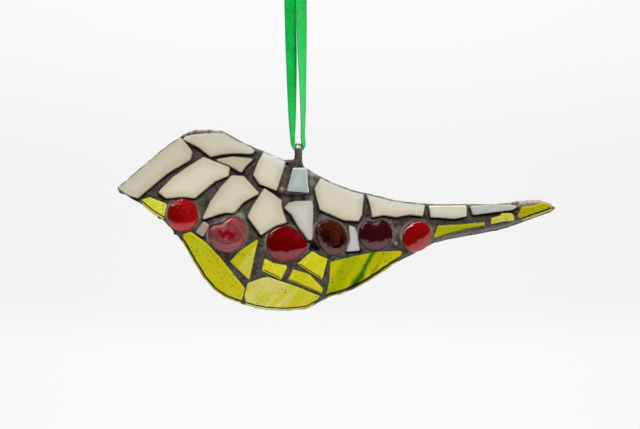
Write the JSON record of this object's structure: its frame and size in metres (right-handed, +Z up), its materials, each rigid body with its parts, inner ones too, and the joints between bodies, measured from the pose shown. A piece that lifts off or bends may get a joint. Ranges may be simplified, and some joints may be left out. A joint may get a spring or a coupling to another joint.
{
  "type": "mosaic bird ornament",
  "caption": "Flat bird-shaped hanging ornament of cut glass tiles and domed glass drops set in dark grout, with a wire eye and a loop of satin ribbon.",
  "frame": {"origin": "the place under the ribbon's knot where a hook carries the ornament", "axes": "+X along the bird from beak to tail, +Z up, the mosaic face towards -Y and the flat back towards +Y"},
  "size_m": [0.1255, 0.008, 0.1093],
  "materials": {
    "grout": "matt sandy grout",
    "white_glass": "opalescent, gloss",
    "blue_glass": "opalescent, gloss",
    "grey_glass": "opalescent, gloss",
    "yellow_glass": "streaky, gloss",
    "red_glass": "polished dome",
    "pink_glass": "swirled, polished dome",
    "deep_red_glass": "polished dome",
    "brown_glass": "swirled, polished dome",
    "burgundy_glass": "polished dome",
    "wire": "silver wire",
    "ribbon": "satin"
  },
  "bodies": {
    "root": {"grout_body": "grout", "beak_tile": "white_glass", "crown_tile": "white_glass", "brow_tile": "white_glass", "cheek_tile": "white_glass", "throat_tile": "white_glass", "breast_tile": "white_glass", "nape_tile": "white_glass", "blue_tile": "blue_glass", "wedge_tile": "grey_glass", "back_tile": "white_glass", "rump_tile": "white_glass", "tail_tile_front": "white_glass", "tail_tile_rear": "white_glass", "chip_tile": "grey_glass", "side_tile": "grey_glass", "yellow_chin_tile": "yellow_glass", "yellow_chest_tile": "yellow_glass", "yellow_triangle_tile": "yellow_glass", "yellow_small_tile": "yellow_glass", "yellow_belly_tile": "yellow_glass", "yellow_kite_tile": "yellow_glass", "yellow_strip_tile": "yellow_glass", "yellow_streaked_tile": "yellow_glass", "yellow_tail_tile_front": "yellow_glass", "yellow_tail_tile_middle": "yellow_glass", "yellow_tail_tile_tip": "yellow_glass", "red_drop": "red_glass", "pink_drop": "pink_glass", "deep_red_drop": "deep_red_glass", "brown_drop": "brown_glass", "burgundy_drop": "burgundy_glass", "rump_drop": "red_glass", "hanging_eye": "wire", "ribbon": "ribbon", "ribbon_knot": "ribbon"}
  },
  "joints": []
}
